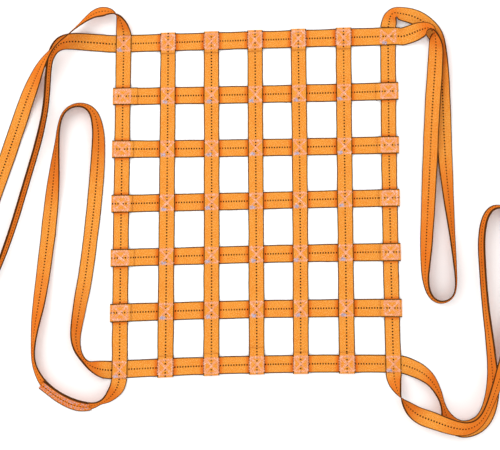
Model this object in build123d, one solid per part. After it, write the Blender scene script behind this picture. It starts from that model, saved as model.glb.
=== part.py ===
from build123d import *
import math
import os

os.makedirs("parts", exist_ok=True)

# Webbing
WEB_W = 50.0  # width of every strap
WEB_T = 3.0  # thickness of every strap
GAP = 0.3  # clearance between neighbouring layers
LAYER = WEB_T + GAP  # rise from one layer to the next

# Panel
PITCH_X = 133.0  # between vertical straps
PITCH_Y = 162.0  # between horizontal straps
COLUMNS = 7
ROWS = 7
RAMP = 20.0  # length over which a strap climbs one layer

# How far each sewn flap reaches past its border's inner edge
FLAPS_LEFT = (18.0, 9.0, 8.0, 14.0, 8.0)  # rows 2 to 6
FLAPS_RIGHT = (12.0, 9.0, 8.0, 8.0, 9.0)
FLAPS_TOP = (8.0, 9.0, 8.0, 8.0, 8.0)  # columns 2 to 6
FLAPS_BOTTOM = (8.0, 10.0, 24.0, 9.0, 8.0)

# Joint planes
FOLD_X = -PITCH_X / 2  # fold line, between the third and fourth vertical straps
LOOP_OUT = 13.0  # from the panel's edge to the hinge plane of the corner loops, either side
CUT = 0.2  # half the gap at a joint plane

# Stitching
BAR = 1.6  # width of a row of stitches
PROUD = 0.8  # height of the stitches above the webbing
BOX_W = 40.0  # box stitch, across the strap that carries it
BOX_L = 44.0  # box stitch, along it

STEPS = 3  # sections in each span of a loop's route

COLS_X = [(i - (COLUMNS - 1) / 2) * PITCH_X for i in range(COLUMNS)]
ROWS_Y = [((ROWS - 1) / 2 - i) * PITCH_Y for i in range(ROWS)]
EDGE_X = COLS_X[-1] + WEB_W / 2
EDGE_Y = ROWS_Y[0] + WEB_W / 2
LOOP_X = EDGE_X + LOOP_OUT

# Each route starts at the side border and ends at the top or bottom border.
# A point is x, y, clearance under the lower edge, roll of the webbing in degrees.
LOOP_ROUTES = {
    "top_left": [
        (-399, 511, 3.3, 0), (-400, 530, 4, -30), (-405, 550, 5, -56), (-414, 565, 6, -78),
        (-430, 575, 6, -108), (-453, 578, 5, -127), (-476, 573, 6, -127), (-499, 558, 10, -115),
        (-525, 534, 20, -103), (-559, 501, 36, -96), (-590, 474, 48, -96), (-615, 444, 54, -110),
        (-637, 409, 48, -128), (-662, 366, 14, -148), (-688, 307, 3, -168), (-721, 211, 1, -180),
        (-759, 100, 1, -180), (-804, -26, 1, -180), (-839, -139, 2, -170), (-855, -217, 2, -120),
        (-837, -265, 1, -100), (-792, -244, 1, -100), (-756, -157, 1, -106), (-723, -62, 1, -108),
        (-684, 70, 1, -108), (-650, 184, 1, -108), (-630, 273, 1, -107), (-624, 339, 1, -106),
        (-621, 393, 1, -106), (-616, 433, 1, -107), (-602, 465, 1, -120), (-581, 482, 1, -142),
        (-551, 486, 1, -160), (-505, 486, 1, -173), (-461, 487, 0.5, -180), (-450, 486, 0, -180),
        (-435, 486, 0, -180), (-420, 486, 0, -180),
    ],
    "top_right": [
        (399, 511, 0, 0), (402, 528, 2, -12), (405, 550, 3, -44), (416, 559, 3, -38),
        (438, 556, 2, -16), (465, 554, 1, -4), (492, 546, 1, 0), (518, 528, 1, 4), (539, 503, 1, 18),
        (550, 466, 1, 36), (555, 420, 1, 30), (558, 355, 1, 20), (561, 280, 1, 10), (564, 190, 1, -4),
        (570, 76, 1, -30), (584, -73, 2, -62), (596, -193, 2, -75), (599, -253, 1, -80),
        (586, -286, 1, -80), (552, -299, 1, -80), (518, -283, 1, -78), (503, -238, 1, -70),
        (505, -181, 2, -52), (510, -91, 3, -32), (519, 72, 6, -22), (526, 247, 10, -16),
        (532, 352, 14, -14), (537, 427, 18, -16), (538, 465, 23, -26), (536, 488, 26, -50),
        (533, 511, 26, -88), (517, 520, 23, -132), (489, 508, 16, -162), (464, 494, 9, -178),
        (440, 484, 4.5, -180), (430, 486, 3.3, -180), (412, 486, 3.3, -180),
    ],
    "bottom_left": [
        (-399, -511, 3.3, 0), (-407, -532, 4, -24), (-425, -557, 4, -46), (-444, -577, 4, -62),
        (-464, -592, 4, -75), (-484, -601, 4, -64), (-508, -605, 4, -52), (-535, -603, 4, -47),
        (-568, -590, 4, -47), (-604, -568, 4, -50), (-634, -541, 3, -54), (-654, -508, 2, -64),
        (-666, -471, 2, -72), (-667, -432, 1, -71), (-662, -378, 1, -58), (-652, -313, 2, -38),
        (-641, -244, 2, -24), (-625, -115, 1, -10), (-613, -5, 1, -14), (-603, 94, 2, -44),
        (-595, 172, 2, -68), (-590, 231, 1, -76), (-577, 272, 1, -76), (-547, 294, 1, -74),
        (-511, 295, 2, -72), (-484, 274, 2, -60), (-471, 226, 2, -46), (-469, 174, 2, -36),
        (-475, 65, 2, -10), (-488, -64, 1, 0), (-507, -213, 1, -6), (-524, -297, 2, -22),
        (-535, -360, 2, -40), (-540, -399, 2, -50), (-535, -431, 2, -62), (-522, -455, 2, -75),
        (-504, -472, 2, -76), (-484, -481, 2, -56), (-461, -485, 1, -26), (-436, -486, 0, 0),
        (-420, -486, 0, 0),
    ],
    "bottom_right": [
        (399, -511, 3.3, 0), (401, -532, 4, 34), (412, -558, 4, 62), (424, -580, 5, 88),
        (439, -599, 7, 112), (462, -618, 9, 138), (490, -636, 20, 162), (528, -648, 34, 186),
        (565, -661, 45, 200), (598, -670, 43, 206), (628, -673, 35, 214), (658, -661, 29, 226),
        (680, -635, 29, 234), (697, -597, 33, 234), (712, -555, 37, 228), (729, -508, 38, 216),
        (748, -458, 29, 206), (757, -391, 8, 202), (768, -304, 2, 202), (778, -199, 1, 218),
        (781, -118, 2, 244), (772, -50, 1, 258), (745, -11, 1, 260), (708, -9, 1, 256),
        (683, -41, 1, 252), (673, -103, 1, 250), (676, -184, 1, 250), (686, -313, 1, 250),
        (698, -402, 1, 245), (705, -468, 1, 240), (710, -528, 1, 226), (706, -585, 1, 210),
        (692, -635, 1, 199), (664, -667, 1, 193), (623, -679, 1, 191), (590, -667, 1, 200),
        (568, -639, 1, 226), (559, -604, 1, 252), (547, -567, 1, 243), (522, -530, 1, 219),
        (488, -507, 1, 195), (456, -496, 0.5, 182), (432, -489, 0, 180), (414, -486, 0, 180),
    ],
}

# The overlapped strap end in the bottom-left loop: first and last span of its route
SPLICE_FROM = 5.0
SPLICE_TO = 26 / 3
SPLICE_TAIL = 40.0  # its cut end runs on straight where the loop bends away


def box_z(layer):
    return layer * LAYER


def extruded(outline, along_x, centre):
    """A profile drawn in (run, height), extruded over the webbing's width about centre."""
    face = make_face(Polyline(*outline, close=True))
    solid = extrude(face, amount=WEB_W / 2, both=True)
    if along_x:
        return Pos(0, centre, 0) * Rot(X=90) * solid
    return Pos(centre, 0, 0) * Rot(Z=90) * Rot(X=90) * solid


def ribbon_outline(levels):
    """Levels are (run, layer) from low to high run; the webbing keeps its height."""
    lower = [(s, box_z(level)) for s, level in levels]
    upper = [(s, z + WEB_T) for s, z in reversed(lower)]
    return lower + upper


def hooked_outline(levels, edge, low_flap, high_flap):
    """A strap whose ends wrap round the border at +-edge and come back as flaps, where given."""
    outer = edge + GAP + WEB_T
    top = box_z(2)
    step = edge - WEB_W - GAP  # where the flap leaves the border
    down = 6.0

    def flap(sign, reach):
        inner = edge - WEB_W - reach
        return [
            (sign * outer, 0.0),
            (sign * outer, top + WEB_T),
            (sign * step, top + WEB_T),
            (sign * (step - down), box_z(1) + WEB_T),
            (sign * inner, box_z(1) + WEB_T),
            (sign * inner, box_z(1)),
            (sign * (step - down), box_z(1)),
            (sign * step, top),
            (sign * (edge + GAP), top),
            (sign * (edge + GAP), WEB_T),
        ]

    lower = [(s, box_z(level)) for s, level in levels]
    upper = [(s, z + WEB_T) for s, z in reversed(lower)]
    points = list(lower)
    if high_flap:
        points += flap(1, high_flap)
    points += upper
    if low_flap:
        points += list(reversed(flap(-1, low_flap)))
    return points


def over_levels(centres, start, end, base=0, raised=1):
    """Rises to the raised layer over each centre, and lies on the base layer between."""
    half = WEB_W / 2 + 2.0
    levels = []
    for c in sorted(centres):
        levels += [(c - half - RAMP, base), (c - half, raised), (c + half, raised), (c + half + RAMP, base)]
    inside = [(s, z) for s, z in levels if start < s < end]
    first = raised if any(c - half <= start <= c + half for c in centres) else base
    last = raised if any(c - half <= end <= c + half for c in centres) else base
    return [(start, first)] + inside + [(end, last)]


def inner_row(y, left, flap):
    if left:
        outline = hooked_outline([(-EDGE_X, 0), (FOLD_X - CUT, 0)], EDGE_X, flap, None)
    else:
        outline = hooked_outline([(FOLD_X + CUT, 0), (EDGE_X, 0)], EDGE_X, None, flap)
    return extruded(outline, True, y)


def border_row(y, left, lifted_corner):
    """Top or bottom border: over the ends of the inner columns, out to the hinge plane."""
    centres = [x for x in COLS_X[1:-1] if (x < FOLD_X) == left]
    if left:
        levels = over_levels(centres, -LOOP_X + CUT, FOLD_X - CUT)
    else:
        if lifted_corner:
            centres = centres + [COLS_X[-1]]
        levels = over_levels(centres, FOLD_X + CUT, LOOP_X - CUT)
        if lifted_corner:
            levels = [(s, z) for s, z in levels if s < COLS_X[-1]] + [(LOOP_X - CUT, 1)]
    return extruded(ribbon_outline(levels), True, y)


def inner_column(x, low_flap, high_flap):
    levels = [(-EDGE_Y, 0)] + over_levels(ROWS_Y[1:-1], -EDGE_Y + 1, EDGE_Y - 1) + [(EDGE_Y, 0)]
    return extruded(hooked_outline(levels, EDGE_Y, low_flap, high_flap), False, x)


def side_border(x, low_top_corner):
    centres = ROWS_Y[1:] if low_top_corner else ROWS_Y
    return extruded(ribbon_outline(over_levels(centres, -EDGE_Y, EDGE_Y)), False, x)


def mean(p, q):
    return tuple((a + b) / 2 for a, b in zip(p, q))


def route_spans(points):
    """Quadratic B-spline spans of the middle of the webbing, with its roll."""
    control = []
    for x, y, under, roll in points:
        r = math.radians(roll)
        rise = abs(math.sin(r)) * WEB_W / 2 + abs(math.cos(r)) * WEB_T / 2
        control.append((x, y, under + rise, roll))
    last = len(control) - 3
    spans = []
    for i in range(last + 1):
        a = control[0] if i == 0 else mean(control[i], control[i + 1])
        c = control[-1] if i == last else mean(control[i + 1], control[i + 2])
        spans.append((a, control[i + 1], c))
    return spans


def route_at(spans, u):
    """Middle, direction and roll of the webbing at u spans from the start."""
    i = min(int(u), len(spans) - 1)
    t = u - i
    a, b, c = spans[i]
    x, y, z, roll = [(1 - t) ** 2 * p + 2 * t * (1 - t) * q + t * t * r for p, q, r in zip(a, b, c)]
    ahead = [(1 - t) * (q - p) + t * (r - q) for p, q, r in zip(a, b, c)]
    return Vector(x, y, z), Vector(*ahead[:3]).normalized(), math.radians(roll)


def section(spans, u, offset=0.0):
    """Corners of the webbing's cross-section u spans along, and its direction."""
    here, ahead, roll = route_at(spans, u)
    level = Vector(0, 0, 1).cross(ahead).normalized()
    normal = ahead.cross(level)
    side = level * math.cos(roll) + normal * math.sin(roll)
    face = ahead.cross(side)
    here = here + face * offset
    corners = [
        here + side * (a * WEB_W / 2) + face * (b * WEB_T / 2)
        for a, b in ((1, 1), (-1, 1), (-1, -1), (1, -1))
    ]
    return corners, ahead


def slid(corners, ahead, normal, distance):
    """The same corners, slid along the webbing's level course to the plane at a distance from the origin."""
    course = Vector(ahead.X, ahead.Y, 0)
    return [p + course * ((distance - p.dot(normal)) / course.dot(normal)) for p in corners]


def lofted(sections):
    faces = [make_face(Polyline(*[tuple(p) for p in corners], close=True)) for corners in sections]
    return loft(faces, ruled=True)


def crossing(spans, sign, low, high):
    """Where the route crosses the hinge plane, between two places either side of it."""
    low_outside = sign * route_at(spans, low)[0].X > LOOP_X
    for _ in range(40):
        middle = (low + high) / 2
        if (sign * route_at(spans, middle)[0].X > LOOP_X) == low_outside:
            low = middle
        else:
            high = middle
    return low


def loop_and_root(points, sign):
    """The loop outside its hinge plane, and the root between the border and that plane."""
    spans = route_spans(points)
    out = Vector(sign, 0, 0)
    up = Vector(0, math.copysign(1, points[0][1]), 0)
    places = [k / STEPS for k in range(len(spans) * STEPS + 1)]
    outside = [sign * route_at(spans, u)[0].X > LOOP_X for u in places]
    first = outside.index(True)
    last = len(outside) - 1 - outside[::-1].index(True)
    leaves = crossing(spans, sign, places[first - 1], places[first])
    returns = crossing(spans, sign, places[last], places[last + 1])
    beyond = []
    within = []
    for u in places[1:]:
        corners = section(spans, u)[0]
        if leaves < u < returns and all(sign * p.X > LOOP_X + CUT + 2 for p in corners):
            beyond.append(corners)
        if u < leaves and all(sign * p.X < LOOP_X - CUT - 2 for p in corners):
            within.append(corners)
    start = slid(*section(spans, leaves), out, LOOP_X + CUT)
    end = slid(*section(spans, returns), out, LOOP_X + CUT)
    loop = lofted([start] + beyond + [end])
    root_start = slid(*section(spans, 0), up, EDGE_Y)
    root_end = slid(*section(spans, leaves), out, LOOP_X - CUT)
    root = lofted([root_start] + within + [root_end])
    tops = [max(p.Z for p in start), max(p.Z for p in end), root.bounding_box().max.Z]
    middles = [route_at(spans, u)[0] for u in places if leaves < u < returns]
    length = sum((b - a).length for a, b in zip(middles, middles[1:]))
    return loop, root, max(tops), length


def splice(points):
    """The overlapped strap end, on the loop's outer face, with a straight tail."""
    spans = route_spans(points)
    count = round((SPLICE_TO - SPLICE_FROM) * STEPS)
    places = [SPLICE_FROM + k / STEPS for k in range(count + 1)]
    sections = [section(spans, u, LAYER)[0] for u in places]
    tail = route_at(spans, SPLICE_TO)[1] * SPLICE_TAIL
    sections.append([p + tail for p in sections[-1]])
    return lofted(sections)


def bar(x0, y0, x1, y1):
    length = math.hypot(x1 - x0, y1 - y0)
    angle = math.degrees(math.atan2(y1 - y0, x1 - x0))
    solid = Box(length + BAR, BAR, PROUD, align=(Align.CENTER, Align.CENTER, Align.MIN))
    return Pos((x0 + x1) / 2, (y0 + y1) / 2, 0) * Rot(Z=angle) * solid


def box_stitch(x, y, z, turned):
    """A cross between two bars, sewn through the crossing."""
    a = BOX_W / 2
    b = BOX_L / 2
    shape = bar(-a, b, a, b) + bar(-a, -b, a, -b) + bar(-a, b, a, -b) + bar(-a, -b, a, b)
    return Pos(x, y, z) * (Rot(Z=90) * shape if turned else shape)


def stitch_column(i):
    solids = []
    for j in range(ROWS):
        side = i in (0, COLUMNS - 1)
        end = j in (0, ROWS - 1)
        layer = 2 if side != end else 1
        top = box_z(layer) + WEB_T
        turned = (side and not end) or (i == COLUMNS - 1 and j == 0)
        solids += box_stitch(COLS_X[i], ROWS_Y[j], top, turned).solids()
    return Compound(children=solids)


def save(name, shape):
    export_step(shape, f"parts/{name}.step")


ROW_NAMES = ["top_border"] + [f"row_{j}" for j in range(2, ROWS)] + ["bottom_border"]
COLUMN_NAMES = ["left_border"] + [f"column_{i}" for i in range(2, COLUMNS)] + ["right_border"]

for j, name in enumerate(ROW_NAMES):
    for half in ("left", "right"):
        if j in (0, ROWS - 1):
            solid = border_row(ROWS_Y[j], half == "left", j == 0)
        else:
            flaps = FLAPS_LEFT if half == "left" else FLAPS_RIGHT
            solid = inner_row(ROWS_Y[j], half == "left", flaps[j - 1])
        save(f"{name}_{half}", solid)

for i, name in enumerate(COLUMN_NAMES):
    if i in (0, COLUMNS - 1):
        solid = side_border(COLS_X[i], i == COLUMNS - 1)
    else:
        solid = inner_column(COLS_X[i], FLAPS_BOTTOM[i - 1], FLAPS_TOP[i - 1])
    save(name, solid)
    save(f"box_stitches_{name}", stitch_column(i))

for corner, points in LOOP_ROUTES.items():
    sign = -1 if corner.endswith("left") else 1
    loop, root, top, length = loop_and_root(points, sign)
    save(f"{corner}_loop", loop)
    save(f"{corner}_loop_root", root)
    straight = WEB_W * WEB_T * length
    print(corner, "top at hinge", round(top, 2), "length", round(length), "volume share", round(loop.volume / straight, 3))

save("splice_overlap", splice(LOOP_ROUTES["bottom_left"]))
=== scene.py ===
import math
import random

import bpy
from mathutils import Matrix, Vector, noise


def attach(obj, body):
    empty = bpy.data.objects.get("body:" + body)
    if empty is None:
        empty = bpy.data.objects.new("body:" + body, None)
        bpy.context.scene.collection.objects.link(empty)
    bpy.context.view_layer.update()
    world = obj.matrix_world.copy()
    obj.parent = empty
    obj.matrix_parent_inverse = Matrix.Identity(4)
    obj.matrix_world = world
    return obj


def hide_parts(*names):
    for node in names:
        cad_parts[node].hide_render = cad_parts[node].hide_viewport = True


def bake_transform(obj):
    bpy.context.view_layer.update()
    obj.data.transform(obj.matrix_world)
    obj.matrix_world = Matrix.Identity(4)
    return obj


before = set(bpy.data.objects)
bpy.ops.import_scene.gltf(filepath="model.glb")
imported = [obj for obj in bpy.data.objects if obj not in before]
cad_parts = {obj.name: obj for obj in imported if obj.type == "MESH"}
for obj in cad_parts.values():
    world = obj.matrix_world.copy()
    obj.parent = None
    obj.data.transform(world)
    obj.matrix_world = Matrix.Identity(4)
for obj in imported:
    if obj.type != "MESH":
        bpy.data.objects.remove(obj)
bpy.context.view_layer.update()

# Webbing, in metres
WEB_W = 0.050
WEB_T = 0.003
WIDTH_DOWN = 0.0466  # drawn width of the webbing where it runs up and down the view
WIDTH_OVER = 0.0530  # and where it runs across
LAYER = 0.0033  # rise from one layer to the next
ROUNDED_FROM = 0.93  # share of the half width where the edge starts to round off
ROUNDED_SPAN = 0.07  # share that the rounding takes
EDGE_PLAY = 0.0009  # how far the drawn edges waver in and out
EDGE_WAVE = 0.055  # length of that wavering
EDGE_SHADE_WIDTH = 0.0034  # width of the painted edge shade on a strap that lies flat
STEEPEST = 0.25  # a strap steeper than this, as a share lying flat, darkens no further

# Sewing thread
STITCH_WIDTH = 0.0085  # width of a zigzag row
STITCH_PITCH = 0.0024
THREAD_RADIUS = 0.0009
SPLICE_RADIUS = 0.0008  # the splice's finer thread
BOX_ACROSS = 0.039  # box stitch, across the strap that carries it
BOX_ALONG = 0.043  # and along it
KNOT_THREADS = 22

# Panel
PITCH_X = 0.133
PITCH_Y = 0.162
COUNT = 7  # straps each way
RAMP = 0.018  # length over which a strap climbs one layer
FLAT_MARGIN = 0.003  # a strap is still flat this far past the one it crosses
STEP = 0.006  # spacing of cross-sections along a panel strap
CONTACT_SHADE_FADE = 0.0130  # length over which the painted shade beside a crossing fades
CUT_FADE = 0.0080  # and the redder tone at the cut end of a flap
ROW_STRETCH = 1.15  # the horizontal straps' tracer dashes are this much closer together
HALF = (COUNT - 1) / 2
COLS_X = [(i - HALF) * PITCH_X for i in range(COUNT)]
ROWS_Y = [(HALF - j) * PITCH_Y for j in range(COUNT)]
EDGE_X = COLS_X[-1] + WEB_W / 2
EDGE_Y = ROWS_Y[0] + WEB_W / 2
FOLD_X = -PITCH_X / 2
DRIFT_FADE = 0.14  # outside the panel the straps' drift dies out over this distance

# How far each sewn flap reaches past its border's inner edge
FLAPS_LEFT = (0.018, 0.008, 0.006, 0.014, 0.006)  # rows 2 to 6
FLAPS_RIGHT = (0.012, 0.009, 0.006, 0.005, 0.008)
FLAPS_TOP = (0.007, 0.008, 0.007, 0.007, 0.007)  # columns 2 to 6
FLAPS_BOTTOM = (0.006, 0.010, 0.024, 0.008, 0.007)

# How far each strap lies off its even place, at its two ends and its middle, in metres
COLUMN_DRIFT = [  # top, middle, bottom; to the right
    (0.003, -0.005, -0.011), (0.003, -0.001, -0.006), (-0.001, 0.000, -0.001), (-0.003, 0.000, 0.003),
    (-0.007, -0.001, 0.001), (-0.004, 0.001, 0.007), (-0.003, 0.002, 0.014),
]
ROW_DRIFT = [  # left, middle, right; upwards
    (-0.008, 0.004, 0.016), (-0.003, 0.003, 0.013), (0.001, 0.005, 0.014), (-0.001, 0.008, 0.018),
    (-0.002, 0.010, 0.017), (-0.004, 0.007, 0.011), (-0.014, 0.003, 0.004),
]

# Routes of the corner loops, from the side border round to the top or bottom border.
# A point is x, y, clearance under the lower edge, roll of the webbing in degrees.
LOOP_ROUTES = {
    "top_left": [
        (-0.399, 0.511, 0.0033, 0), (-0.400, 0.530, 0.004, -30), (-0.405, 0.550, 0.005, -56),
        (-0.414, 0.565, 0.006, -78), (-0.430, 0.575, 0.006, -108), (-0.453, 0.578, 0.005, -127),
        (-0.476, 0.573, 0.006, -127), (-0.499, 0.558, 0.01, -115), (-0.525, 0.534, 0.02, -103),
        (-0.559, 0.501, 0.036, -96), (-0.590, 0.474, 0.048, -96), (-0.615, 0.444, 0.054, -110),
        (-0.637, 0.409, 0.048, -128), (-0.662, 0.366, 0.014, -148), (-0.688, 0.307, 0.003, -168),
        (-0.721, 0.211, 0.001, -180), (-0.759, 0.100, 0.001, -180), (-0.804, -0.026, 0.001, -180),
        (-0.839, -0.139, 0.002, -170), (-0.855, -0.217, 0.002, -120), (-0.837, -0.265, 0.001, -100),
        (-0.792, -0.244, 0.001, -100), (-0.756, -0.157, 0.001, -106), (-0.723, -0.062, 0.001, -108),
        (-0.684, 0.070, 0.001, -108), (-0.650, 0.184, 0.001, -108), (-0.630, 0.273, 0.001, -107),
        (-0.624, 0.339, 0.001, -106), (-0.621, 0.393, 0.001, -106), (-0.616, 0.433, 0.001, -107),
        (-0.602, 0.465, 0.001, -120), (-0.581, 0.482, 0.001, -142), (-0.551, 0.486, 0.001, -160),
        (-0.505, 0.486, 0.001, -173), (-0.461, 0.487, 0.0005, -180), (-0.450, 0.486, 0, -180),
        (-0.435, 0.486, 0, -180), (-0.420, 0.486, 0, -180),
    ],
    "top_right": [
        (0.399, 0.511, 0, 0), (0.402, 0.528, 0.002, -12), (0.405, 0.550, 0.003, -44),
        (0.416, 0.559, 0.003, -38), (0.438, 0.556, 0.002, -16), (0.465, 0.554, 0.001, -4),
        (0.492, 0.546, 0.001, 0), (0.518, 0.528, 0.001, 4), (0.539, 0.503, 0.001, 18),
        (0.550, 0.466, 0.001, 36), (0.555, 0.420, 0.001, 30), (0.558, 0.355, 0.001, 20),
        (0.561, 0.280, 0.001, 10), (0.564, 0.190, 0.001, -4), (0.570, 0.076, 0.001, -30),
        (0.584, -0.073, 0.002, -62), (0.596, -0.193, 0.002, -75), (0.599, -0.253, 0.001, -80),
        (0.586, -0.286, 0.001, -80), (0.552, -0.299, 0.001, -80), (0.518, -0.283, 0.001, -78),
        (0.503, -0.238, 0.001, -70), (0.505, -0.181, 0.002, -52), (0.510, -0.091, 0.003, -32),
        (0.519, 0.072, 0.006, -22), (0.526, 0.247, 0.01, -16), (0.532, 0.352, 0.014, -14),
        (0.537, 0.427, 0.018, -16), (0.538, 0.465, 0.023, -26), (0.536, 0.488, 0.026, -50),
        (0.533, 0.511, 0.026, -88), (0.517, 0.520, 0.023, -132), (0.489, 0.508, 0.016, -162),
        (0.464, 0.494, 0.009, -178), (0.440, 0.484, 0.0045, -180), (0.430, 0.486, 0.0033, -180),
        (0.412, 0.486, 0.0033, -180),
    ],
    "bottom_left": [
        (-0.399, -0.511, 0.0033, 0), (-0.402, -0.534, 0.004, -16), (-0.421, -0.560, 0.004, -42),
        (-0.441, -0.580, 0.004, -60), (-0.464, -0.592, 0.004, -75), (-0.484, -0.601, 0.004, -64),
        (-0.508, -0.605, 0.004, -52), (-0.535, -0.603, 0.004, -47), (-0.568, -0.590, 0.004, -47),
        (-0.604, -0.568, 0.004, -50), (-0.634, -0.541, 0.003, -54), (-0.654, -0.508, 0.002, -64),
        (-0.666, -0.471, 0.002, -72), (-0.667, -0.432, 0.001, -71), (-0.662, -0.378, 0.001, -58),
        (-0.652, -0.313, 0.002, -38), (-0.641, -0.244, 0.002, -24), (-0.625, -0.115, 0.001, -10),
        (-0.613, -0.005, 0.001, -14), (-0.603, 0.094, 0.002, -44), (-0.595, 0.172, 0.002, -68),
        (-0.590, 0.231, 0.001, -76), (-0.577, 0.272, 0.001, -76), (-0.547, 0.294, 0.001, -74),
        (-0.511, 0.295, 0.002, -72), (-0.484, 0.274, 0.002, -60), (-0.471, 0.226, 0.002, -46),
        (-0.469, 0.174, 0.002, -36), (-0.475, 0.065, 0.002, -10), (-0.488, -0.064, 0.001, 0),
        (-0.507, -0.213, 0.001, -6), (-0.524, -0.297, 0.002, -22), (-0.535, -0.360, 0.002, -40),
        (-0.540, -0.399, 0.002, -50), (-0.535, -0.431, 0.002, -62), (-0.522, -0.455, 0.002, -75),
        (-0.504, -0.472, 0.002, -76), (-0.484, -0.481, 0.002, -56), (-0.461, -0.485, 0.001, -26),
        (-0.436, -0.486, 0, 0), (-0.420, -0.486, 0, 0),
    ],
    "bottom_right": [
        (0.399, -0.511, 0.0033, 0), (0.401, -0.532, 0.004, 34), (0.412, -0.558, 0.004, 62),
        (0.424, -0.580, 0.005, 88), (0.439, -0.599, 0.007, 112), (0.462, -0.618, 0.009, 138),
        (0.490, -0.636, 0.02, 162), (0.528, -0.648, 0.034, 186), (0.565, -0.661, 0.045, 200),
        (0.598, -0.670, 0.043, 206), (0.628, -0.673, 0.035, 214), (0.658, -0.661, 0.029, 226),
        (0.680, -0.635, 0.029, 234), (0.697, -0.597, 0.033, 234), (0.712, -0.555, 0.037, 228),
        (0.729, -0.508, 0.038, 216), (0.748, -0.458, 0.029, 206), (0.757, -0.391, 0.008, 202),
        (0.768, -0.304, 0.002, 202), (0.778, -0.199, 0.001, 218), (0.781, -0.118, 0.002, 244),
        (0.772, -0.050, 0.001, 258), (0.745, -0.011, 0.001, 260), (0.708, -0.009, 0.001, 256),
        (0.683, -0.041, 0.001, 252), (0.673, -0.103, 0.001, 250), (0.676, -0.184, 0.001, 250),
        (0.686, -0.313, 0.001, 250), (0.698, -0.402, 0.001, 245), (0.705, -0.468, 0.001, 240),
        (0.710, -0.528, 0.001, 226), (0.706, -0.585, 0.001, 210), (0.692, -0.635, 0.001, 199),
        (0.664, -0.667, 0.001, 193), (0.623, -0.679, 0.001, 191), (0.590, -0.667, 0.001, 200),
        (0.568, -0.639, 0.001, 226), (0.559, -0.604, 0.001, 252), (0.547, -0.567, 0.001, 243),
        (0.522, -0.530, 0.001, 219), (0.488, -0.507, 0.001, 195), (0.456, -0.496, 0.0005, 182),
        (0.432, -0.489, 0, 180), (0.414, -0.486, 0, 180),
    ],
}
SPLICE_SPANS = (5.0, 26 / 3)  # spans of the bottom-left route covered by the overlap
SPLICE_TAIL = 0.040  # its cut end runs on straight where the loop bends away
ROUTE_STEPS = 12  # samples in each span of a route


# ---------------------------------------------------------------- shape helpers


def mix(a, b, t):
    return a + (b - a) * t


def smooth(t):
    t = min(max(t, 0.0), 1.0)
    return t * t * (3 - 2 * t)


def through(low, middle, high, t):
    """A curve through three values at t = -1, 0 and 1."""
    return middle + t * (high - low) / 2 + t * t * ((high + low) / 2 - middle)


def between(values, t):
    """Straight-line reading of a list at a fractional index, held at its ends."""
    t = min(max(t, 0.0), len(values) - 1.0)
    i = min(int(t), len(values) - 2)
    return mix(values[i], values[i + 1], t - i)


def drifted(p):
    """Moves a point of the even panel to where the straps really lie."""
    x = min(max(p.x, -EDGE_X), EDGE_X)
    y = min(max(p.y, -EDGE_Y), EDGE_Y)
    beyond = math.hypot(p.x - x, p.y - y)
    keep = 1 - smooth(beyond / DRIFT_FADE)
    right = [through(low, mid, top, y / EDGE_Y) for top, mid, low in COLUMN_DRIFT]
    up = [through(*drift, x / EDGE_X) for drift in ROW_DRIFT]
    dx = between(right, x / PITCH_X + HALF) * keep
    dy = between(up, HALF - y / PITCH_Y) * keep
    return Vector((p.x + dx, p.y + dy, p.z))


def profile():
    """The webbing's cross-section as (across, up, v) round its outline."""
    across = [-1, -0.975, -0.93, -0.8, -0.6, -0.4, -0.2, 0, 0.2, 0.4, 0.6, 0.8, 0.93, 0.975, 1]
    half = WEB_T / 2
    top = []
    for a in across[1:-1]:
        edge = max(0.0, (abs(a) - ROUNDED_FROM) / ROUNDED_SPAN)
        top.append((a * WEB_W / 2, half * math.sqrt(max(0.0, 1 - 0.55 * edge * edge))))
    return [(-WEB_W / 2, 0.0)] + top + [(WEB_W / 2, 0.0)] + [(a, -h) for a, h in reversed(top)]


RING = profile()


class Ribbon:
    """A strap as a run of cross-sections: middle, side and upper directions."""

    def __init__(self):
        self.middles = []
        self.sides = []
        self.ups = []
        self.shade_and_cut_reds = []
        self.shade_and_cut_red_below = 1.0  # share of the painted shade and cut-end tone that the lower face shows too

    def add(self, middle, side, up, shade_and_cut_red=0.0):
        """How much redder the tone goes there: painted shade beside a strap lying over it and where it
        stands on its edge, and a redder tone near a flap's cut end; 0 for an open strap, 1 at a crossing or
        fold.
        """
        self.middles.append(middle)
        self.sides.append(side)
        self.ups.append(up)
        self.shade_and_cut_reds.append(shade_and_cut_red)

    def runs(self):
        total = 0.0
        runs = [0.0]
        for a, b in zip(self.middles, self.middles[1:]):
            total += (b - a).length
            runs.append(total)
        return runs


def wobble(seed, run, scale):
    return noise.noise(Vector((seed * 7.3, run / scale, 0.5)))


def edge_shade_widening(side):
    """How much further in the painted edge shade reaches where the strap stands on its edge."""
    lying = math.hypot(side.x, side.y)
    return EDGE_SHADE_WIDTH * (1 / max(lying, STEEPEST) - 1)


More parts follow.
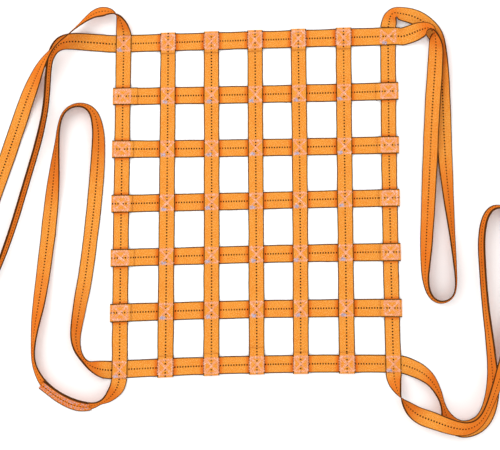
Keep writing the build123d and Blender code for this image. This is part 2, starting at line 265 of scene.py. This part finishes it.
def ribbon_object(name, ribbon, materials, seed, run_start=0.0, stretch=1.0):
    """The strap's mesh, with a UV map of metres along (times stretch) and metres across."""
    runs = ribbon.runs()
    vertices = []
    for middle, side, up, run in zip(ribbon.middles, ribbon.sides, ribbon.ups, runs):
        drawn = mix(WIDTH_DOWN, WIDTH_OVER, side.y * side.y) / WEB_W
        left = drawn + EDGE_PLAY * wobble(seed, run, EDGE_WAVE) / (WEB_W / 2)
        right = drawn + EDGE_PLAY * wobble(seed + 0.37, run, EDGE_WAVE) / (WEB_W / 2)
        for a, h in RING:
            reach = a * (right if a > 0 else left)
            vertices.append(drifted(middle + side * reach + up * h))
    count = len(RING)
    faces = []
    uvs = []
    for i in range(len(runs) - 1):
        for k in range(count):
            n = (k + 1) % count
            faces.append((i * count + k, i * count + n, (i + 1) * count + n, (i + 1) * count + k))
            u0 = runs[i] * stretch + run_start
            u1 = runs[i + 1] * stretch + run_start
            uvs += [(u0, RING[k][0]), (u0, RING[n][0]), (u1, RING[n][0]), (u1, RING[k][0])]
    faces.append(tuple(reversed(range(count))))
    uvs += [(run_start, RING[k][0]) for k in reversed(range(count))]
    last = (len(runs) - 1) * count
    faces.append(tuple(range(last, last + count)))
    uvs += [(runs[-1] + run_start, RING[k][0]) for k in range(count)]
    mesh = bpy.data.meshes.new(name)
    mesh.from_pydata([tuple(v) for v in vertices], [], faces)
    layer = mesh.uv_layers.new(name="webbing")
    layer.data.foreach_set("uv", [value for uv in uvs for value in uv])
    mesh.polygons.foreach_set("use_smooth", [True] * (len(faces) - 2) + [False, False])
    # painted shade beside crossings and where a strap stands on its edge, and the redder tone near flap cut
    # ends
    shade_and_cut_reds = mesh.attributes.new("shade_and_cut_red", "FLOAT", "POINT")
    shares = [1.0 if h >= 0 else ribbon.shade_and_cut_red_below for _, h in RING]
    shade_and_cut_reds.data.foreach_set("value", [shade_and_cut_red * share for shade_and_cut_red in ribbon.shade_and_cut_reds for share in shares])
    # painted edge shade, reaching further in where the strap stands on its edge
    edge_shade_reaches = mesh.attributes.new("edge_shade_reach", "FLOAT", "POINT")
    edge_shade_reaches.data.foreach_set("value", [edge_shade_widening(side) for side in ribbon.sides for _ in RING])
    for material in materials:
        mesh.materials.append(material)
    mesh.polygons[-1].material_index = len(materials) - 1
    mesh.polygons[-2].material_index = len(materials) - 1
    mesh.update()
    obj = bpy.data.objects.new(name, mesh)
    bpy.context.scene.collection.objects.link(obj)
    return obj


# ---------------------------------------------------------------- panel straps


def height_at(s, bumps):
    """Layer height along a strap: up over each (centre, layer), down between."""
    level = 0.0
    flat = WEB_W / 2 + FLAT_MARGIN
    for centre, layer in bumps:
        away = abs(s - centre) - flat
        level = max(level, layer * (1 - smooth(away / RAMP)))
    return level * LAYER + WEB_T / 2


def run_points(start, end, bumps):
    """Points (run, height) of a strap that lies over bumps from start to end."""
    count = max(2, round(abs(end - start) / STEP))
    points = []
    for k in range(count + 1):
        s = mix(start, end, k / count)
        points.append((s, height_at(s, bumps)))
    return points


def flap_points(edge, sign, reach):
    """Points from a flap's cut end, over the border and round its outer edge to the ground."""
    top = 2 * LAYER + WEB_T / 2
    resting = LAYER + WEB_T / 2
    inner = edge - WEB_W
    points = []
    steps = 10
    for k in range(steps + 1):
        s = inner - reach + (reach + 0.012) * k / steps
        climb = smooth((s - (inner - 0.009)) / 0.009)
        points.append((sign * s, mix(resting, top, climb)))
    for k in range(1, 8):
        points.append((sign * mix(inner + 0.012, edge - 0.001, k / 7), top))
    radius = LAYER
    for k in range(1, 8):
        angle = math.pi / 2 - math.pi * k / 7
        rise = LAYER + WEB_T / 2 + math.sin(angle) * radius
        points.append((sign * (edge - 0.001 + math.cos(angle) * (radius + 0.001)), rise))
    return points


def painted_contact_shade(s, centres):
    """Painted shade: redder within a few millimetres of a strap that crosses above."""
    nearest = min((abs(s - c) for c in centres), default=1.0)
    return 1 - smooth((nearest - WEB_W / 2 + 0.0005) / CONTACT_SHADE_FADE)


def strap(points, along_x, at, above):
    """A ribbon through (run, height) points, at a fixed place, with straps above it."""
    first = points[0][0]
    last = points[-1][0]
    ribbon = Ribbon()
    ribbon.shade_and_cut_red_below = 0.0
    places = [Vector((s, at, z)) if along_x else Vector((at, s, z)) for s, z in points]
    side = Vector((0, 1, 0)) if along_x else Vector((-1, 0, 0))
    for i, middle in enumerate(places):
        ahead = (places[min(i + 1, len(places) - 1)] - places[max(i - 1, 0)]).normalized()
        s, z = points[i]
        # painted shade beside a strap that crosses above; on raised parts, a redder tone near the cut ends
        if z < LAYER + WEB_T:
            shade_and_cut_red = painted_contact_shade(s, above)
        else:
            shade_and_cut_red = 1 - smooth(min(abs(s - first), abs(s - last)) / CUT_FADE)
        ribbon.add(middle, side, ahead.cross(side), shade_and_cut_red)
    return ribbon


def hooked(edge, bumps, low_flap, high_flap):
    """An inner strap: flap, wrap, the whole run on the ground side, wrap and flap."""
    low = flap_points(edge, -1, low_flap)
    high = list(reversed(flap_points(edge, 1, high_flap)))
    inside = run_points(-edge + 0.004, edge - 0.004, bumps)
    return low + inside + high


def bend_rows(obj):
    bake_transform(obj)


def panel_straps(webbing, cut):
    inner_x = COLS_X[1:-1]
    inner_y = ROWS_Y[1:-1]
    for j, y in enumerate(ROWS_Y):
        if j in (0, COUNT - 1):
            name = "top_border" if j == 0 else "bottom_border"
            bumps = [(x, 1) for x in inner_x]
            if j == 0:
                bumps.append((COLS_X[-1] + 0.03, 1))
                bumps.append((COLS_X[-1], 1))
            points = run_points(-0.420, 0.414 if j else 0.415, bumps)
        else:
            name = f"row_{j + 1}"
            points = hooked(EDGE_X, [], FLAPS_LEFT[j - 1], FLAPS_RIGHT[j - 1])
        ribbon = strap(points, True, y, inner_x)
        obj = ribbon_object(name, ribbon, (webbing, cut), seed=3 + j, stretch=ROW_STRETCH)
        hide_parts(f"{name}_left", f"{name}_right")
        bend_rows(obj)
    for i, x in enumerate(COLS_X):
        crossed = []
        if i in (0, COUNT - 1):
            crossed = inner_y
            name = "left_border" if i == 0 else "right_border"
            low_corner = i == COUNT - 1
            bumps = [(y, 1) for y in (ROWS_Y[1:] if low_corner else ROWS_Y)]
            bumps.append((-EDGE_Y, 1))
            if not low_corner:
                bumps.append((EDGE_Y, 1))
            points = run_points(-EDGE_Y, EDGE_Y, bumps)
        else:
            name = f"column_{i + 1}"
            points = hooked(EDGE_Y, [(y, 1) for y in inner_y], FLAPS_BOTTOM[i - 1], FLAPS_TOP[i - 1])
        ribbon = strap(points, False, x, crossed)
        obj = ribbon_object(name, ribbon, (webbing, cut), seed=23 + i)
        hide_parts(name)
        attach(obj, "left_panel" if x < FOLD_X else "right_panel")


# ---------------------------------------------------------------- corner loops


def control_points(route):
    """Route points with the height of the webbing's middle in place of its clearance."""
    points = []
    for x, y, under, roll in route:
        r = math.radians(roll)
        rise = abs(math.sin(r)) * WEB_W / 2 + abs(math.cos(r)) * WEB_T / 2
        points.append((x, y, under + rise, roll))
    return points


def spline(points, first=0.0, last=None):
    """Samples of the clamped quadratic B-spline through control points."""
    spans = len(points) - 2
    last = spans if last is None else last
    samples = []
    total = round((last - first) * ROUTE_STEPS)
    for k in range(total + 1):
        u = mix(first, last, k / total)
        i = min(int(u), spans - 1)
        t = u - i
        a = points[0] if i == 0 else tuple((p + q) / 2 for p, q in zip(points[i], points[i + 1]))
        b = points[i + 1]
        if i == spans - 1:
            c = points[-1]
        else:
            c = tuple((p + q) / 2 for p, q in zip(points[i + 1], points[i + 2]))
        samples.append(tuple((1 - t) ** 2 * p + 2 * t * (1 - t) * q + t * t * r for p, q, r in zip(a, b, c)))
    return samples


def rolled_ribbon(samples, offset=0.0):
    """A strap along a route's samples, redder where it stands on its edge: painted shade."""
    ribbon = Ribbon()
    places = [Vector(s[:3]) for s in samples]
    for i, middle in enumerate(places):
        ahead = (places[min(i + 1, len(places) - 1)] - places[max(i - 1, 0)]).normalized()
        level = Vector((0, 0, 1)).cross(ahead).normalized()
        normal = ahead.cross(level)
        roll = math.radians(samples[i][3])
        side = level * math.cos(roll) + normal * math.sin(roll)
        up = ahead.cross(side)
        standing = abs(math.sin(roll))
        # painted shade where the strap stands on its edge
        ribbon.add(middle + up * offset, side, up, 0.70 * smooth((standing - 0.1) / 0.6))
    return ribbon


def nurbs_line(name, points):
    """The same route as a curve; its evaluated points are the cord's centre line."""
    curve = bpy.data.curves.new(name, "CURVE")
    curve.dimensions = "3D"
    line = curve.splines.new("NURBS")
    line.points.add(len(points) - 1)
    for point, (x, y, z, _roll) in zip(line.points, points):
        point.co = (*drifted(Vector((x, y, z))), 1)
    line.order_u = 3
    line.use_endpoint_u = True
    line.resolution_u = ROUTE_STEPS
    obj = bpy.data.objects.new(name, curve)
    bpy.context.scene.collection.objects.link(obj)
    bpy.context.view_layer.update()
    mesh = bpy.data.meshes.new_from_object(obj)
    path = [tuple(v.co) for v in mesh.vertices]
    bpy.data.objects.remove(obj)
    bpy.data.curves.remove(curve)
    bpy.data.meshes.remove(mesh)
    return path


def run_on(ribbon, distance):
    """Carries a ribbon's last section straight on."""
    ahead = (ribbon.middles[-1] - ribbon.middles[-2]).normalized()
    last = ribbon.middles[-1]
    for k in range(1, 5):
        ribbon.add(last + ahead * (distance * k / 4), ribbon.sides[-1], ribbon.ups[-1], ribbon.shade_and_cut_reds[-1])


def splice_rows(ribbon):
    """Rows of thread along the overlap, pink and grey by turns."""
    rng = random.Random(9)
    stitches = []
    for across, slots in ((-0.0145, (0, 3)), (-0.0070, (3, 2, 0)), (0.0070, (3, 0, 2)), (0.0145, (0, 1, 3))):
        for i in range(len(ribbon.middles) - 1):
            gap = ribbon.middles[i + 1] - ribbon.middles[i]
            count = max(1, round(gap.length / 0.0017))
            for k in range(count):
                if rng.random() < 0.4:
                    continue  # the rows are worn and patchy
                middle = ribbon.middles[i] + gap * ((k + 0.5) / count)
                side = ribbon.sides[i]
                up = ribbon.ups[i]
                centre = middle + side * across + up * (WEB_T / 2)
                reach = side * rng.uniform(0.0020, 0.0034) + gap.normalized() * rng.uniform(-0.0008, 0.0008)
                slot = rng.choice(slots)
                ends = (drifted(centre - reach), drifted(centre + reach))
                stitches.append((*ends, up, SPLICE_RADIUS, slot))
    return stitches


def corner_loops(webbing, cut, threads):
    for seed, (corner, route) in enumerate(LOOP_ROUTES.items()):
        points = control_points(route)
        ribbon = rolled_ribbon(spline(points))
        name = f"{corner}_loop"
        obj = ribbon_object(name, ribbon, (webbing, cut), seed=43 + seed, run_start=EDGE_Y)
        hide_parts(name, f"{name}_root")
        with_pieces = []
        if corner == "bottom_left":
            overlap = rolled_ribbon(spline(points, *SPLICE_SPANS), offset=LAYER)
            run_on(overlap, SPLICE_TAIL)
            extra = ribbon_object("splice_overlap", overlap, (webbing, cut), seed=61)
            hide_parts("splice_overlap")
            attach(extra, name)
            rows = thread_mesh("splice_stitches", splice_rows(overlap), threads)
            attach(rows, name)
            with_pieces += [extra, rows]
        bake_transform(obj)
        path = nurbs_line(f"{name}_line", points)


# ---------------------------------------------------------------- stitching


def thread_mesh(name, stitches, materials):
    """Short threads, each a bowed six-sided rod: (start, end, up, radius, material)."""
    vertices = []
    faces = []
    slots = []
    rings = 4
    sides = 6
    for start, end, up, radius, slot in stitches:
        ahead = (end - start).normalized()
        side = ahead.cross(up).normalized()
        first = len(vertices)
        for r in range(rings):
            t = r / (rings - 1)
            bow = math.sin(math.pi * t)
            middle = start.lerp(end, t) + up * (radius * (0.9 * bow - 0.35))
            thick = radius * (0.55 + 0.45 * bow)
            for k in range(sides):
                angle = 2 * math.pi * k / sides
                vertices.append(middle + side * (math.cos(angle) * thick) + up * (math.sin(angle) * thick))
        for r in range(rings - 1):
            for k in range(sides):
                n = (k + 1) % sides
                a = first + r * sides
                faces.append((a + k, a + n, a + sides + n, a + sides + k))
                slots.append(slot)
        faces.append(tuple(first + k for k in reversed(range(sides))))
        faces.append(tuple(first + (rings - 1) * sides + k for k in range(sides)))
        slots += [slot, slot]
    mesh = bpy.data.meshes.new(name)
    mesh.from_pydata([tuple(v) for v in vertices], [], faces)
    mesh.polygons.foreach_set("use_smooth", [True] * len(faces))
    mesh.polygons.foreach_set("material_index", slots)
    for material in materials:
        mesh.materials.append(material)
    mesh.update()
    obj = bpy.data.objects.new(name, mesh)
    bpy.context.scene.collection.objects.link(obj)
    return obj


def sewn_line(a, b, z, rng):
    """A dense zigzag of thread from a to b, at height z on a flat strap."""
    ahead = b - a
    count = max(2, round(ahead.length / STITCH_PITCH))
    ahead = ahead.normalized()
    across = Vector((-ahead.y, ahead.x, 0))
    up = Vector((0, 0, 1))
    stitches = []
    for k in range(count):
        middle = a.lerp(b, (k + 0.5) / count)
        lean = (0.5 if k % 2 else -0.5) * STITCH_PITCH * 1.3
        reach = STITCH_WIDTH / 2 * rng.uniform(0.55, 1.25)
        start = middle - across * reach - ahead * lean
        end = middle + across * reach + ahead * lean
        start.z = end.z = z
        slot = 1 if rng.random() < 0.12 else 0
        radius = THREAD_RADIUS * rng.uniform(0.85, 1.15)
        stitches.append((drifted(start), drifted(end), up, radius, slot))
    return stitches


def box_stitch(x, y, z, turned, rng, boxed):
    """Two bars and a cross; a boxed one is closed at its sides too."""
    a = BOX_ACROSS / 2
    b = BOX_ALONG / 2
    corners = [(-a, b), (a, b), (a, -b), (-a, -b)]
    if turned:
        corners = [(-q, p) for p, q in corners]
    tl, tr, br, bl = [Vector((x + p, y + q, 0)) for p, q in corners]
    lines = [(tl, tr), (bl, br), (tl, br), (tr, bl)]
    if boxed:
        lines += [(tl, bl), (tr, br)]
    stitches = []
    for start, end in lines:
        stitches += sewn_line(start, end, z, rng)
    return stitches


def knot(x, y, z, rng):
    """A clump of thread ends where the machine stopped."""
    stitches = []
    for _ in range(KNOT_THREADS):
        angle = rng.uniform(0, math.tau)
        aside = rng.uniform(-0.006, 0.006)
        along = rng.uniform(-0.004, 0.004)
        centre = Vector((x + aside, y + along, z + rng.uniform(0, 0.0012)))
        reach = Vector((math.cos(angle), math.sin(angle), 0)) * rng.uniform(0.0022, 0.0042)
        slot = rng.choice((2, 2, 3))
        ends = (drifted(centre - reach), drifted(centre + reach))
        stitches.append((*ends, Vector((0, 0, 1)), THREAD_RADIUS, slot))
    return stitches


def stitching(materials):
    for i, x in enumerate(COLS_X):
        rng = random.Random(100 + i)
        name = "left_border" if i == 0 else "right_border" if i == COUNT - 1 else f"column_{i + 1}"
        stitches = []
        for j, y in enumerate(ROWS_Y):
            side = i in (0, COUNT - 1)
            end = j in (0, COUNT - 1)
            flap = side != end
            z = (2 if flap else 1) * LAYER + WEB_T
            turned = (side and not end) or (i == COUNT - 1 and j == 0)
            stitches += box_stitch(x, y, z, turned, rng, boxed=flap)
            if not flap:
                stitches += knot(x - 0.010 + rng.uniform(-0.003, 0.003), y - 0.019, z, rng)
        obj = thread_mesh(f"box_stitches_{name}", stitches, materials)
        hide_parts(f"box_stitches_{name}")
        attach(obj, "left_panel" if x < FOLD_X else "right_panel")


# ---------------------------------------------------------------- materials


class Graph:
    """A material's node tree, built node by node."""

    def __init__(self, name):
        self.material = bpy.data.materials.new(name)
        self.material.use_nodes = True
        self.tree = self.material.node_tree
        self.tree.nodes.clear()
        self.shader = self.node("ShaderNodeBsdfPrincipled")
        out = self.node("ShaderNodeOutputMaterial")
        self.join(self.shader.outputs["BSDF"], out.inputs["Surface"])

    def node(self, kind, **settings):
        made = self.tree.nodes.new(kind)
        for key, value in settings.items():
            setattr(made, key, value)
        return made

    def join(self, output, socket):
        self.tree.links.new(output, socket)

    def feed(self, value, socket):
        """Sets a socket to a number or colour, or links another node's output to it."""
        if isinstance(value, (int, float, tuple)):
            socket.default_value = value
        else:
            self.join(value, socket)

    def math(self, operation, a, b=0.0, clamp=False):
        made = self.node("ShaderNodeMath", operation=operation, use_clamp=clamp)
        self.feed(a, made.inputs[0])
        self.feed(b, made.inputs[1])
        return made.outputs[0]

    def blend(self, factor, a, b, kind="MIX"):
        made = self.node("ShaderNodeMix", data_type="RGBA", blend_type=kind)
        self.feed(factor, made.inputs["Factor"])
        self.feed(a, made.inputs["A"])
        self.feed(b, made.inputs["B"])
        return made.outputs["Result"]

    def step(self, value, low, high):
        """0 below low, 1 above high, smooth between."""
        made = self.node("ShaderNodeMapRange", interpolation_type="SMOOTHSTEP")
        self.feed(value, made.inputs["Value"])
        made.inputs["From Min"].default_value = low
        made.inputs["From Max"].default_value = high
        return made.outputs["Result"]

    def noise(self, vector, scale, detail=3.0):
        made = self.node("ShaderNodeTexNoise")
        self.join(vector, made.inputs["Vector"])
        made.inputs["Scale"].default_value = scale
        made.inputs["Detail"].default_value = detail
        return made.outputs["Fac"]


ORANGE = (0.675, 0.262, 0.034, 1)
DEEP_ORANGE = (0.62, 0.170, 0.014, 1)
PALE_ORANGE = (0.76, 0.37, 0.12, 1)
RIB_ORANGE = (0.80, 0.38, 0.08, 1)
# used for the redder speckle, the painted shade and the cut-end tone
SPECKLE_SHADE_AND_CUT_RED = (0.60, 0.095, 0.003, 1)
# painted shade along the strap edges
EDGE_SHADE_BROWN = (0.060, 0.022, 0.006, 1)
TRACER = (0.012, 0.003, 0.002, 1)


def webbing_material():
    g = Graph("orange_webbing")
    uv = g.node("ShaderNodeUVMap", uv_map="webbing").outputs["UV"]
    split = g.node("ShaderNodeSeparateXYZ")
    g.join(uv, split.inputs[0])
    along, across = split.outputs[0], split.outputs[1]
    # herringbone weave: diagonal ribs whose lean turns over every few millimetres
    fold = g.math("PINGPONG", across, 0.0031)
    ribs = g.math("SINE", g.math("MULTIPLY", g.math("ADD", along, fold), math.tau / 0.0021))
    cords = g.math("SINE", g.math("MULTIPLY", across, math.tau / 0.0016))
    weave = g.math("ADD", g.math("MULTIPLY", ribs, 0.6), g.math("MULTIPLY", cords, 0.4))
    # tone
    geometry = g.node("ShaderNodeTexCoord")
    patches = g.noise(geometry.outputs["Object"], 26, 4)
    fine = g.noise(uv, 900, 2)
    tone = g.blend(g.math("MULTIPLY", g.step(patches, 0.35, 0.75), 0.45), ORANGE, DEEP_ORANGE)
    tone = g.blend(g.math("MULTIPLY", g.step(weave, -0.9, 0.6), 0.16), tone, RIB_ORANGE)
    # broad twill lines, leaning one way on each half of the strap
    lean = g.math("ABSOLUTE", across)
    twill = g.math("SINE", g.math("MULTIPLY", g.math("ADD", along, lean), math.tau / 0.0075))
    rough_twill = g.math("MULTIPLY", g.step(twill, -0.2, 0.9), g.step(g.noise(uv, 260, 2), 0.35, 0.6))
    tone = g.blend(g.math("MULTIPLY", rough_twill, 0.6), tone, DEEP_ORANGE)
    # speckle where single yarns catch or lose the light
    speckle = g.noise(uv, 330, 1)
    tone = g.blend(g.math("MULTIPLY", g.step(speckle, 0.53, 0.68), 0.70), tone, PALE_ORANGE)
    tone = g.blend(g.math("MULTIPLY", g.step(speckle, 0.47, 0.32), 0.50), tone, SPECKLE_SHADE_AND_CUT_RED)
    tone = g.blend(g.math("MULTIPLY", g.step(fine, 0.5, 0.8), 0.25), tone, DEEP_ORANGE)
    # painted shade: redder where the strap stands on its edge and where it goes under another; also a redder
    # tone near a flap's cut end
    shade_and_cut_red = g.node("ShaderNodeAttribute", attribute_name="shade_and_cut_red").outputs["Fac"]
    patchy = g.math("ADD", 0.70, g.math("MULTIPLY", patches, 0.6))
    tone = g.blend(g.math("MULTIPLY", shade_and_cut_red, g.math("MULTIPLY", patchy, 0.85)), tone, SPECKLE_SHADE_AND_CUT_RED)
    # painted shade: a dark line along each edge of the strap, reaching further in where the strap stands on
    # its edge
    edge = g.math("ABSOLUTE", across)
    edge_shade_reach = g.node("ShaderNodeAttribute", attribute_name="edge_shade_reach").outputs["Fac"]
    edge_shade = g.step(g.math("ADD", edge, edge_shade_reach), 0.0216, 0.0227)
    tone = g.blend(g.math("MULTIPLY", edge_shade, 0.97), tone, EDGE_SHADE_BROWN)
    # tracer thread: dashes along the middle
    phase = g.math("FRACT", g.math("DIVIDE", along, 0.0090))
    dash = g.math("LESS_THAN", phase, 0.47)
    line = g.math("SUBTRACT", 1.0, g.step(edge, 0.0020, 0.0025))
    fade = g.step(g.noise(geometry.outputs["Object"], 9, 2), 0.30, 0.48)
    strength = g.math("ADD", 0.75, g.math("MULTIPLY", fade, 0.25))
    tracer = g.math("MULTIPLY", g.math("MULTIPLY", dash, line), strength)
    tone = g.blend(tracer, tone, TRACER)
    g.join(tone, g.shader.inputs["Base Color"])
    rough = g.math("ADD", 0.62, g.math("MULTIPLY", fine, 0.2))
    g.join(rough, g.shader.inputs["Roughness"])
    g.shader.inputs["Specular IOR Level"].default_value = 0.0
    bump = g.node("ShaderNodeBump")
    bump.inputs["Strength"].default_value = 0.35
    bump.inputs["Distance"].default_value = 0.0004
    g.join(g.math("ADD", weave, g.math("MULTIPLY", fine, 0.5)), bump.inputs["Height"])
    g.join(bump.outputs["Normal"], g.shader.inputs["Normal"])
    return g.material


def cut_material():
    """The fused cut end of a strap: darker and redder, with the weave's grain."""
    g = Graph("cut_webbing_end")
    where = g.node("ShaderNodeTexCoord").outputs["Object"]
    grain = g.noise(where, 1400, 3)
    tone = g.blend(g.step(grain, 0.3, 0.7), (0.33, 0.07, 0.02, 1), (0.5, 0.14, 0.03, 1))
    g.join(tone, g.shader.inputs["Base Color"])
    g.join(g.math("ADD", 0.5, g.math("MULTIPLY", grain, 0.3)), g.shader.inputs["Roughness"])
    return g.material


def thread_material(name, pale, deep):
    g = Graph(name)
    where = g.node("ShaderNodeTexCoord").outputs["Object"]
    tint = g.noise(where, 160, 2)
    twist = g.noise(where, 2400, 2)
    tone = g.blend(g.step(tint, 0.35, 0.65), pale, deep)
    tone = g.blend(g.math("MULTIPLY", g.step(twist, 0.45, 0.75), 0.3), tone, deep)
    g.join(tone, g.shader.inputs["Base Color"])
    g.join(g.math("ADD", 0.45, g.math("MULTIPLY", twist, 0.25)), g.shader.inputs["Roughness"])
    return g.material


def ground_material():
    g = Graph("pale_ground")
    where = g.node("ShaderNodeTexCoord").outputs["Object"]
    speck = g.noise(where, 3, 2)
    g.join(g.blend(speck, (0.93, 0.93, 0.93, 1), (0.95, 0.95, 0.95, 1)), g.shader.inputs["Base Color"])
    g.shader.inputs["Roughness"].default_value = 0.9
    g.shader.inputs["Specular IOR Level"].default_value = 0.1
    return g.material


# ---------------------------------------------------------------- stage


GROUND_Z = -0.0008  # just under the net, so that no faces coincide


def ground():
    mesh = bpy.data.meshes.new("ground")
    r = 30
    corners = [(x, y, GROUND_Z) for x, y in ((-r, -r), (r, -r), (r, r), (-r, r))]
    mesh.from_pydata(corners, [], [(0, 1, 2, 3)])
    mesh.materials.append(ground_material())
    obj = bpy.data.objects.new("ground", mesh)
    bpy.context.scene.collection.objects.link(obj)
    return obj


def soft_light(name, place, aim, size, power):
    data = bpy.data.lights.new(name, "AREA")
    data.shape = "DISK"
    data.size = size
    data.energy = power
    obj = bpy.data.objects.new(name, data)
    obj.location = place
    obj.rotation_euler = (Vector(aim) - Vector(place)).to_track_quat("-Z", "Y").to_euler()
    bpy.context.scene.collection.objects.link(obj)
    return obj


def sky():
    world = bpy.data.worlds.new("studio")
    world.use_nodes = True
    world.node_tree.nodes["Background"].inputs["Color"].default_value = (1, 1, 1, 1)
    world.node_tree.nodes["Background"].inputs["Strength"].default_value = 1.30
    bpy.context.scene.world = world


def camera():
    data = bpy.data.cameras.new("camera")
    data.lens = 150
    data.sensor_width = 36
    data.clip_end = 60
    obj = bpy.data.objects.new("camera", data)
    width = 1.5  # what the view spans at the ground, in metres
    obj.location = (-0.018, -0.0645, width * data.lens / data.sensor_width)
    bpy.context.scene.collection.objects.link(obj)
    bpy.context.scene.camera = obj
    return obj


WEBBING = webbing_material()
CUT_END = cut_material()
THREADS = (
    thread_material("pink_thread", (0.80, 0.41, 0.27, 1), (0.74, 0.32, 0.15, 1)),
    thread_material("pale_thread", (0.85, 0.60, 0.50, 1), (0.78, 0.47, 0.35, 1)),
    thread_material("lavender_thread", (0.42, 0.38, 0.50, 1), (0.56, 0.44, 0.50, 1)),
    thread_material("grey_thread", (0.24, 0.21, 0.30, 1), (0.40, 0.33, 0.40, 1)),
)
panel_straps(WEBBING, CUT_END)
corner_loops(WEBBING, CUT_END, THREADS)
stitching(THREADS)

sky()
key = soft_light("key", (-2.2, 2.0, 4.0), (0, 0, 0), 2.6, 60)
ground()
camera()
bpy.context.scene.view_settings.view_transform = "Standard"
bpy.context.scene.view_settings.look = "None"
bpy.context.scene.view_settings.exposure = 0.0
